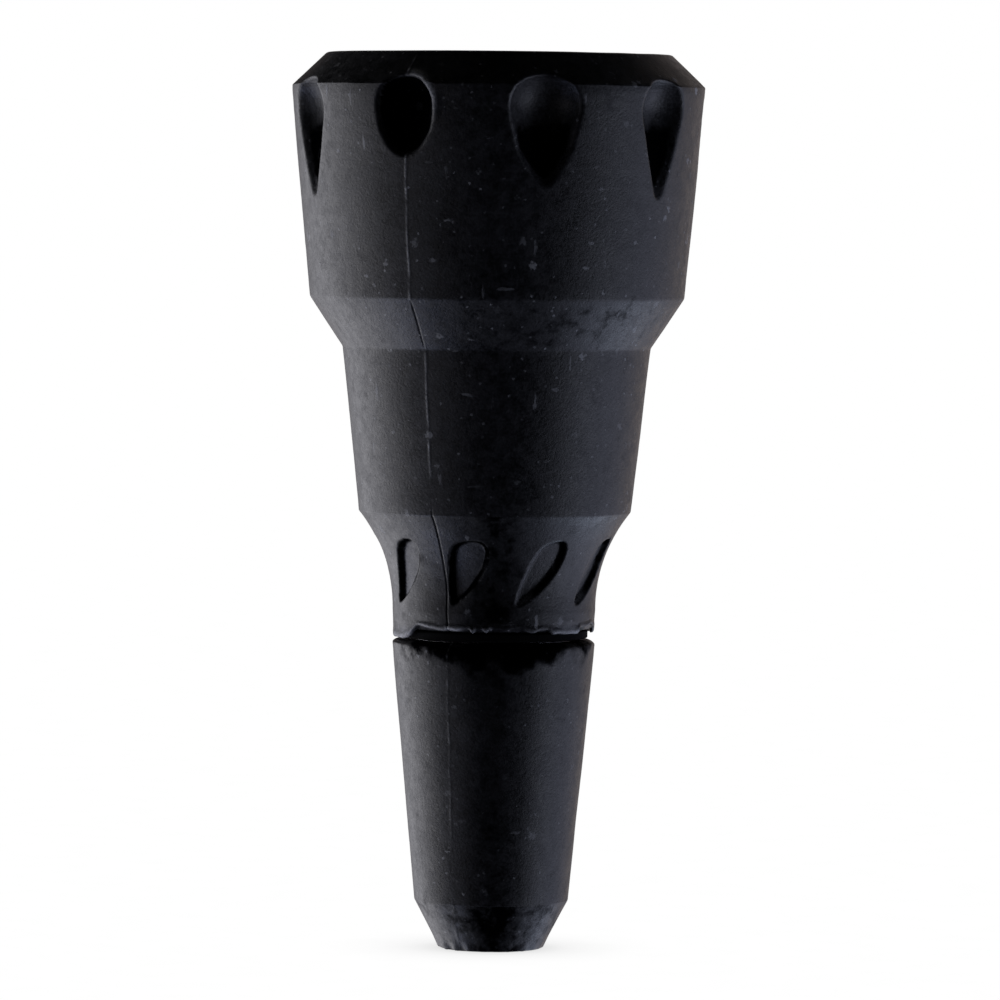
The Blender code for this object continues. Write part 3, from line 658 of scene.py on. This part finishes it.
class Nodes:
    """A small helper that adds nodes to a material and links them."""

    def __init__(self, name):
        self.material = bpy.data.materials.new(name)
        self.material.use_nodes = True
        self.tree = self.material.node_tree
        self.shader = self.tree.nodes["Principled BSDF"]
        place = self.tree.nodes.new("ShaderNodeTexCoord")
        self.mm = self.add("ShaderNodeMapping", {"Vector": place.outputs["Object"]})
        self.mm.inputs["Scale"].default_value = (1000, 1000, 1000)

    def add(self, kind, inputs=None, **settings):
        node = self.tree.nodes.new(kind)
        for key, value in settings.items():
            setattr(node, key, value)
        for key, value in (inputs or {}).items():
            if isinstance(value, bpy.types.NodeSocket):
                self.tree.links.new(value, node.inputs[key])
            else:
                node.inputs[key].default_value = value
        return node

    def noise(self, scale, detail=4.0, roughness=0.55, vector=None):
        source = vector or self.mm.outputs[0]
        values = {"Vector": source, "Scale": scale, "Detail": detail, "Roughness": roughness}
        return self.add("ShaderNodeTexNoise", values).outputs["Fac"]

    def ramp(self, value, low, high, start=0.0, end=1.0):
        values = {"Value": value, "From Min": low, "From Max": high, "To Min": start, "To Max": end}
        return self.add("ShaderNodeMapRange", values, interpolation_type="SMOOTHSTEP").outputs["Result"]

    def math(self, operation, a, b):
        node = self.add("ShaderNodeMath", {0: a, 1: b}, operation=operation)
        return node.outputs[0]

    def mix(self, share, first, second):
        node = self.add("ShaderNodeMix", data_type="RGBA")
        sockets = {s.name: s for s in node.inputs if s.type == "RGBA"}
        for socket, value in ((node.inputs[0], share), (sockets["A"], first), (sockets["B"], second)):
            if isinstance(value, bpy.types.NodeSocket):
                self.tree.links.new(value, socket)
            else:
                socket.default_value = value
        return [s for s in node.outputs if s.type == "RGBA"][0]

    def specks(self, scale, size, share, stretch=(1, 1, 1), lean=(0, 0, 0)):
        """Small ragged flakes of a size in cells, in a share of the cells."""
        moved = self.add("ShaderNodeMapping", {"Vector": self.mm.outputs[0]})
        moved.inputs["Scale"].default_value = stretch
        moved.inputs["Rotation"].default_value = lean
        ragged = {"Vector": moved.outputs[0], "Scale": 5.5 * scale, "Detail": 3.0}
        wobble = self.add("ShaderNodeTexNoise", ragged)
        bent = self.mix(min(0.9, 0.33 / scale), moved.outputs[0], wobble.outputs["Color"])
        cells = self.add("ShaderNodeTexVoronoi", {"Vector": bent, "Scale": scale})
        spot = self.ramp(cells.outputs["Distance"], size, size * 0.5)
        pick = self.add("ShaderNodeSeparateColor", {"Color": cells.outputs["Color"]})
        chosen = self.ramp(pick.outputs[0], 1 - share, 1 - share + 0.02)
        strength = self.ramp(pick.outputs[1], 0.0, 1.0, 0.35, 1.0)
        return self.math("MULTIPLY", self.math("MULTIPLY", spot, chosen), strength)

    def mark(self, name):
        return self.add("ShaderNodeAttribute", attribute_name=name).outputs["Fac"]

    def bump(self, height, strength, distance, normal=None):
        values = {"Height": height, "Strength": strength, "Distance": distance}
        if normal is not None:
            values["Normal"] = normal
        return self.add("ShaderNodeBump", values).outputs["Normal"]

    def link(self, output, name):
        self.tree.links.new(output, self.shader.inputs[name])


def rubber(name, dark, pale, seed, dust=1.0):
    """Matt moulded black rubber: fine grain, cloudy bloom, dust flakes, worn edges, dark mottle, painted
    highlights and painted shade.
    """
    n = Nodes(name)
    shift = n.add("ShaderNodeMapping", {"Vector": n.mm.outputs[0]})
    shift.inputs["Location"].default_value = (seed, 2 * seed, -seed)
    place = shift.outputs[0]
    cloud, patch = n.noise(0.35, 3.0, 0.6, place), n.noise(1.7, 4.0, 0.65, place)
    grain, pits = n.noise(7.0, 3.0, 0.65, place), n.noise(22.0, 2.0, 0.5, place)
    tone = n.math("ADD", n.ramp(cloud, 0.35, 0.7, 0, 0.3), n.ramp(patch, 0.38, 0.66, 0, 0.45))
    tone = n.math("ADD", tone, n.ramp(grain, 0.38, 0.64, 0, 0.4))
    colour = n.mix(tone, dark, pale)
    cluster = n.ramp(n.noise(0.2, 2.0, 0.5, place), 0.38, 0.62, 0.35, 1.0)
    flakes = n.math("MAXIMUM", n.specks(1.0, 0.16, 0.8), n.specks(2.3, 0.17, 0.7))
    fibres = n.math(
        "MAXIMUM",
        n.specks(1.2, 0.15, 0.5, (0.35, 1.5, 1.5), (0.3, 0.9, 0.4)),
        n.specks(1.1, 0.14, 0.45, (1.6, 1.6, 0.4), (0.5, 0.3, 1.0)),
    )
    density = n.math("MULTIPLY", cluster, 0.52 * dust)
    flakes = n.math("MULTIPLY", n.math("MAXIMUM", flakes, fibres), density)
    # The pale mark carries real rubbing marks and painted highlights.
    wear_and_highlight = n.mark("wear_and_highlight")
    mottle = n.noise(1.1, 6.0, 0.66, place)
    # The dark mark is painted shade, varied by patches; random dark mottle, the rubber's own tone, is
    # added to it.
    painted_shade = n.math("MULTIPLY", n.mark("painted_shade"), n.ramp(patch, 0.3, 0.6, 0.75, 1.15))
    painted_shade = n.math("ADD", painted_shade, n.ramp(mottle, 0.36, 0.74, 0.0, 0.40))
    # Fewer dust flakes show in the painted shade.
    unshaded = n.ramp(painted_shade, 0.2, 0.8, 1.0, 0.12)
    flakes = n.math("MULTIPLY", flakes, unshaded)
    rubbed_and_lit = n.math("MULTIPLY", n.ramp(wear_and_highlight, 0.05, 0.9), n.ramp(grain, 0.3, 0.7, 0.35, 0.9))
    pale_share = n.math("MAXIMUM", flakes, rubbed_and_lit)
    # Painted shade: near-black mixed into the colour.
    colour = n.mix(n.ramp(painted_shade, 0.2, 0.9), colour, (0.0015, 0.0015, 0.002, 1))
    # Dust flakes, rubbing marks and painted highlights share one pale grey.
    colour = n.mix(pale_share, colour, (0.62, 0.63, 0.66, 1))
    n.link(colour, "Base Color")
    rough = n.math("ADD", n.ramp(patch, 0.34, 0.66, 0.34, 0.46), n.ramp(grain, 0.34, 0.66, -0.03, 0.06))
    # Painted shade is also rougher and has less specular.
    rough = n.math("ADD", rough, n.ramp(painted_shade, 0.2, 0.9, 0.0, 0.45))
    n.link(n.math("ADD", rough, n.math("MULTIPLY", pale_share, 0.35)), "Roughness")
    n.link(n.ramp(painted_shade, 0.2, 0.9, 0.5, 0.0), "Specular IOR Level")
    height = n.math("ADD", n.math("MULTIPLY", grain, 0.9), n.math("MULTIPLY", pits, 0.3))
    height = n.math("ADD", height, n.math("MULTIPLY", patch, 0.7))
    height = n.math("ADD", height, n.math("MULTIPLY", pale_share, 0.8))
    n.link(n.bump(height, 0.4, 0.00005), "Normal")
    return n.material


def plastic(name, dark, pale, roughness, seed):
    """Moulded plastic with a fine, faintly flowing grain."""
    n = Nodes(name)
    shift = n.add("ShaderNodeMapping", {"Vector": n.mm.outputs[0]})
    shift.inputs["Location"].default_value = (seed, -seed, 2 * seed)
    cloud = n.noise(0.8, 3.0, 0.5, shift.outputs[0])
    grain = n.noise(14.0, 3.0, 0.6, shift.outputs[0])
    n.link(n.mix(n.ramp(cloud, 0.3, 0.7), dark, pale), "Base Color")
    n.link(n.ramp(grain, 0.3, 0.7, roughness - 0.05, roughness + 0.07), "Roughness")
    n.link(n.bump(grain, 0.25, 0.00003), "Normal")
    return n.material


def turned_metal(name, colour, roughness):
    """Lathe-turned metal: fine rings round the axis and a slight haze."""
    n = Nodes(name)
    parts = n.add("ShaderNodeSeparateXYZ", {"Vector": n.mm.outputs[0]})
    rings = n.add("ShaderNodeTexNoise", {"W": parts.outputs["Z"], "Scale": 9.0}, noise_dimensions="1D")
    haze = n.noise(1.2, 3.0, 0.5)
    pale = tuple(min(1.0, c * 1.25) for c in colour[:3]) + (1,)
    n.link(n.mix(n.ramp(haze, 0.3, 0.7), colour, pale), "Base Color")
    n.link(n.ramp(rings.outputs["Fac"], 0.3, 0.7, roughness - 0.06, roughness + 0.08), "Roughness")
    n.link(n.bump(rings.outputs["Fac"], 0.3, 0.00003), "Normal")
    n.shader.inputs["Metallic"].default_value = 1.0
    return n.material


# ---------------------------------------------------------------- pieces


def finish_piece(piece, material, body, slot, *nodes):
    piece.data.materials.clear()
    piece.data.materials.append(material)
    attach(piece, body)
    if nodes:
        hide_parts(*nodes)
    return piece


def make_grip(material):
    turns = seam_turns(560)
    piece = turned("grip_skin", grip_outline(), turns, grip_shape)
    return finish_piece(piece, material, "grip", "grip_rubber", "grip_sleeve")


def make_plug(material):
    turns = seam_turns(360)
    piece = turned("plug_skin", plug_outline(), turns, plug_shape)
    return finish_piece(piece, material, "plug", "plug_rubber", "plug_cone")


def ring_piece(name, corners, material, body, slot, node):
    """A smooth turned ring with softly broken edges, in place of a CAD node."""
    outline = trace([(radius, height, 0.08 * MM, 0.6 * MM) for radius, height in corners])
    return finish_piece(turned(name, outline, even_turns(160)), material, body, slot, node)


def make_mouth_pieces(mouth, seal, socket):
    """The mouth ring, the lipped seal and the socket tube, seen down the mouth."""
    lead_in, flange_low = RING_HIGH.z - 1.1 * MM, RING_HIGH.z - 1.2 * MM
    bore, skirt = SOCKET_BORE, SEAL_HIGH.x
    ring = [
        (RING_HIGH.x, RING_HIGH.z),
        (RING_HIGH.x, flange_low),
        (skirt, flange_low),
        (skirt, RING_LOW.z),
        (bore, RING_LOW.z),
        (bore, lead_in),
        (bore + 1.1 * MM, RING_HIGH.z),
    ]
    ring_piece("mouth_ring_skin", ring, mouth, "grip", "mouth_plastic", "mouth_ring")
    low, high = SEAL_LOW.z, SEAL_HIGH.z
    lips = [
        (skirt, high),
        (skirt, low),
        (SEAL_LIP + 0.35 * MM, low),
        (SEAL_LIP, low + 0.53 * MM),
        (SEAL_LIP, low + 0.88 * MM),
        (SEAL_WAIST, low + 1.05 * MM),
        (SEAL_WAIST, high - 1.05 * MM),
        (SEAL_LIP, high - 0.88 * MM),
        (SEAL_LIP, high - 0.53 * MM),
        (SEAL_LIP + 0.35 * MM, high),
    ]
    ring_piece("ejector_seal_skin", lips, seal, "grip", "seal_rubber", "ejector_seal")
    seat = STRAINER_HIGH.z + 0.1 * MM
    tube = [
        (SOCKET_HIGH.x, SOCKET_HIGH.z),
        (SOCKET_HIGH.x, SOCKET_LOW.z),
        (SOCKET_FLOOR_BORE, SOCKET_LOW.z),
        (SOCKET_FLOOR_BORE, SOCKET_LOW.z + 1 * MM),
        (STRAINER_SEAT, SOCKET_LOW.z + 1 * MM),
        (STRAINER_SEAT, seat),
        (bore, seat),
        (bore, SOCKET_HIGH.z),
    ]
    ring_piece("ejector_socket_skin", tube, socket, "grip", "socket_plastic", "ejector_socket")


def make_lower_washer(material):
    """The washer at the bottom of the gap between the plug and the grip: black plastic, darkened further
    as painted shade in the gap.
    """
    inner = 2.96 * MM
    corners = [
        (WASHER_HIGH.x, WASHER_HIGH.z),
        (WASHER_HIGH.x, WASHER_LOW.z),
        (inner, WASHER_LOW.z),
        (inner, WASHER_HIGH.z),
    ]
    ring_piece("lower_washer_skin", corners, material, "plug", "bearing_plastic", "lower_washer")


def dress_inner_nodes():
    # The liner and bearing looks are black plastic made darker still, the bearing also less glossy, as
    # painted shade in the gap between the plug and the grip.
    liner = plastic("liner_look", (0.003, 0.003, 0.0035, 1), (0.005, 0.005, 0.006, 1), 0.7, 3)
    bearing = plastic("bearing_look", (0.0012, 0.0012, 0.0014, 1), (0.0025, 0.0025, 0.003, 1), 0.9, 5)
    bearing.node_tree.nodes["Principled BSDF"].inputs["Specular IOR Level"].default_value = 0.12
    socket = plastic("socket_look", (0.10, 0.10, 0.11, 1), (0.13, 0.13, 0.14, 1), 0.42, 7)
    seal = plastic("seal_look", (0.07, 0.07, 0.08, 1), (0.10, 0.10, 0.11, 1), 0.55, 9)
    mouth = plastic("mouth_look", (0.022, 0.023, 0.026, 1), (0.035, 0.036, 0.04, 1), 0.38, 11)
    strainer = plastic("strainer_look", (0.62, 0.64, 0.66, 1), (0.72, 0.74, 0.76, 1), 0.4, 13)
    steel = turned_metal("stem_look", (0.55, 0.55, 0.56, 1), 0.3)
    ring = turned_metal("ring_look", (0.42, 0.42, 0.43, 1), 0.36)
    make_mouth_pieces(mouth, seal, socket)
    make_lower_washer(bearing)
    looks = {
        "swivel_body": liner,
        "upper_washer": bearing,
        "swivel_o_ring": seal,
        "strainer_cup": strainer,
        "plug_stem": steel,
        "snap_ring": ring,
    }
    for node, look in looks.items():
        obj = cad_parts[node]
        obj.data.materials.clear()
        obj.data.materials.append(look)


# ---------------------------------------------------------------- stage


def make_floor():
    """A plain pale sheet. It only shows to the camera, with a soft shade where the object stands."""
    bpy.ops.mesh.primitive_circle_add(vertices=128, radius=3.0, fill_type="NGON")
    floor = bpy.context.object
    floor.name = "floor"
    floor.location.z = -0.00002
    n = Nodes("floor_look")
    shade = n.add("ShaderNodeAmbientOcclusion", {"Distance": 0.006}, samples=12)
    contact = n.ramp(shade.outputs["AO"], 0.0, 1.0, 0.72, 1.0)
    grain = n.ramp(n.noise(0.4, 3.0), 0.3, 0.7, 0.995, 1.005)
    n.shader.inputs["Base Color"].default_value = (0.02, 0.02, 0.02, 1)
    n.shader.inputs["Emission Color"].default_value = (1, 1, 1, 1)
    n.link(n.math("MULTIPLY", contact, grain), "Emission Strength")
    n.shader.inputs["Roughness"].default_value = 1.0
    n.shader.inputs["Specular IOR Level"].default_value = 0.0
    floor.data.materials.append(n.material)
    for kind in ("diffuse", "glossy", "transmission", "volume_scatter", "shadow"):
        setattr(floor, "visible_" + kind, False)


# Each softbox: turn from the front, height angle and half-width in degrees, and its light.
SOFTBOXES = (
    (-120, -20, 45, (2.44, 2.43, 2.60)),
    (-80, -45, 18, (1.17, 1.35, 2.08)),
    (-50, -10, 18, (0.42, 0.41, 0.46)),
    (70, -20, 18, (0.92, 0.99, 1.14)),
    (100, -30, 45, (0.89, 0.95, 1.25)),
    (140, -45, 18, (1.46, 1.82, 2.35)),
    (160, -10, 45, (0.54, 0.47, 0.45)),
    (180, 38, 18, (0.35, 0.35, 0.35)),
)


def make_world():
    """Softboxes all round the object, low down, and plain white to the camera."""
    world = bpy.data.worlds.new("studio")
    bpy.context.scene.world = world
    world.use_nodes = True
    tree = world.node_tree

    def add(kind, inputs, **settings):
        node = tree.nodes.new(kind)
        for key, value in settings.items():
            setattr(node, key, value)
        for key, value in inputs.items():
            if isinstance(value, bpy.types.NodeSocket):
                tree.links.new(value, node.inputs[key])
            else:
                node.inputs[key].default_value = value
        return node

    direction = tree.nodes.new("ShaderNodeTexCoord").outputs["Generated"]
    total = None
    for turn, lift, spread, colour in SOFTBOXES:
        turn, lift, spread = math.radians(turn), math.radians(lift), math.radians(spread)
        axis = (math.sin(turn) * math.cos(lift), -math.cos(turn) * math.cos(lift), math.sin(lift))
        near = add("ShaderNodeVectorMath", {0: direction, 1: axis}, operation="DOT_PRODUCT")
        values = {"Value": near.outputs["Value"], "From Min": math.cos(spread), "From Max": 1.0}
        share = add("ShaderNodeMapRange", values).outputs["Result"]
        glow = add("ShaderNodeVectorMath", {0: colour, "Scale": share}, operation="SCALE").outputs[0]
        if total is not None:
            glow = add("ShaderNodeVectorMath", {0: total, 1: glow}, operation="ADD").outputs[0]
        total = glow
    studio = add("ShaderNodeBackground", {"Color": total})
    plain = add("ShaderNodeBackground", {"Color": (1, 1, 1, 1)})
    seen = tree.nodes.new("ShaderNodeLightPath").outputs["Is Camera Ray"]
    both = add("ShaderNodeMixShader", {0: seen, 1: studio.outputs[0], 2: plain.outputs[0]})
    tree.links.new(both.outputs[0], tree.nodes["World Output"].inputs["Surface"])


def make_camera():
    """A long lens a little above the object's middle, with the object leaning slightly in the frame."""
    camera = bpy.data.cameras.new("camera")
    camera.sensor_width = 36
    camera.lens = camera.sensor_width * CAMERA_DISTANCE / VIEW_WIDTH
    camera.clip_start, camera.clip_end = 0.01, 10
    eye = bpy.data.objects.new("camera", camera)
    bpy.context.scene.collection.objects.link(eye)
    eye.location = (0.00025, -CAMERA_DISTANCE, 0.03845)
    look = (Vector((0.00025, 0, 0.02245)) - eye.location).to_track_quat("-Z", "Y")
    eye.rotation_mode = "QUATERNION"
    eye.rotation_quaternion = look @ Quaternion((0, 0, 1), CAMERA_ROLL)
    bpy.context.scene.camera = eye


def main():
    bpy.context.scene.view_settings.view_transform = "Standard"
    make_camera()
    make_floor()
    make_world()
    grip_look = rubber("grip_look", (0.003, 0.003, 0.004, 1), (0.034, 0.034, 0.037, 1), 3.1)
    plug_look = rubber("plug_look", (0.003, 0.003, 0.004, 1), (0.034, 0.034, 0.037, 1), 17.3, 0.8)
    make_grip(grip_look)
    make_plug(plug_look)
    dress_inner_nodes()


main()
